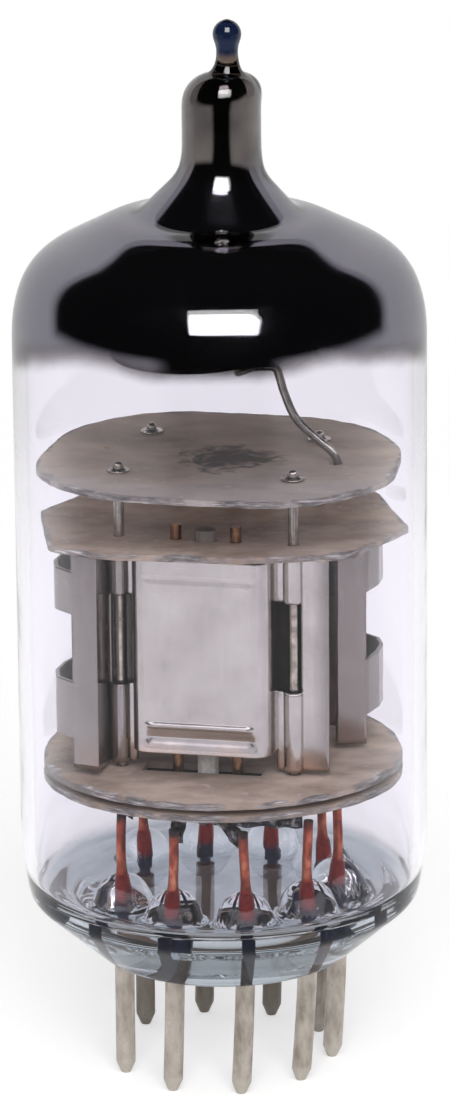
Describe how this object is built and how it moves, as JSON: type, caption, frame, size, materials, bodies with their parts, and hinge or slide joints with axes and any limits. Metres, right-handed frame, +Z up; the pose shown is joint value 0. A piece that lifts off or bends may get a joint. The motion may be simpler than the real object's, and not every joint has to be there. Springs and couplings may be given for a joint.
{
  "type": "vacuum tube",
  "caption": "Miniature glass vacuum tube: triode electrodes between mica sheets, a mirrored dome with a drawn tip, and a ring of straight base pins.",
  "frame": {"origin": "on the tube's axis, level with the tips of the pins", "axes": "+Z up along the tube's axis to the drawn tip; -Y faces the picture's viewer; +X to their right"},
  "size_m": [0.0214, 0.0214, 0.0556],
  "materials": {
    "bulb_glass": "clear blown glass, with a dark getter mirror inside the dome",
    "base_glass": "thick pressed glass, slightly grey-green",
    "pin_nickel": "dull nickel-plated pin wire",
    "copper_lead": "bare copper-clad wire, reddened by the sealing flame",
    "dark_ribbon": "nickel ribbon darkened by heat",
    "mica": "grey-brown punched mica with flaky pale edges",
    "anode_sheet": "bright nickel-plated sheet, rolled and pressed",
    "nickel_wire": "bright nickel wire",
    "cathode_coat": "white sprayed oxide coat on a nickel sleeve",
    "heater_coat": "white alumina coat on tungsten wire"
  },
  "bodies": {
    "root": {"glass_bulb": "bulb_glass", "button_stem": "base_glass", "pin_1": "pin_nickel", "pin_2": "pin_nickel", "pin_3": "pin_nickel", "pin_4": "pin_nickel", "pin_5": "pin_nickel", "pin_6": "pin_nickel", "pin_7": "pin_nickel", "pin_8": "pin_nickel", "pin_9": "pin_nickel", "lead_1": "copper_lead", "lead_2": "copper_lead", "lead_3": "copper_lead", "lead_4": "copper_lead", "lead_5": "copper_lead", "lead_6": "copper_lead", "lead_7": "copper_lead", "lead_8": "copper_lead", "lead_9": "copper_lead", "ribbon_1": "dark_ribbon", "ribbon_2": "dark_ribbon", "ribbon_3": "dark_ribbon", "ribbon_4": "dark_ribbon", "ribbon_5": "dark_ribbon", "ribbon_6": "dark_ribbon", "ribbon_7": "dark_ribbon", "ribbon_8": "dark_ribbon", "ribbon_9": "dark_ribbon", "mica_base_upper": "mica", "mica_base_lower": "mica", "mica_spacer": "mica", "mica_shield": "mica", "anode_front_outer": "anode_sheet", "anode_front_inner": "anode_sheet", "anode_rear_outer": "anode_sheet", "anode_rear_inner": "anode_sheet", "grid_front": "nickel_wire", "grid_rear": "nickel_wire", "cathode_front": "cathode_coat", "cathode_rear": "cathode_coat", "heater_front": "heater_coat", "heater_rear": "heater_coat", "post_front_left": "nickel_wire", "post_front_right": "nickel_wire", "post_rear_right": "nickel_wire", "post_rear_left": "nickel_wire", "eyelet_front_left": "nickel_wire", "eyelet_front_right": "nickel_wire", "eyelet_rear_right": "nickel_wire", "eyelet_rear_left": "nickel_wire", "getter_ring": "nickel_wire", "getter_wire": "nickel_wire"}
  },
  "joints": []
}
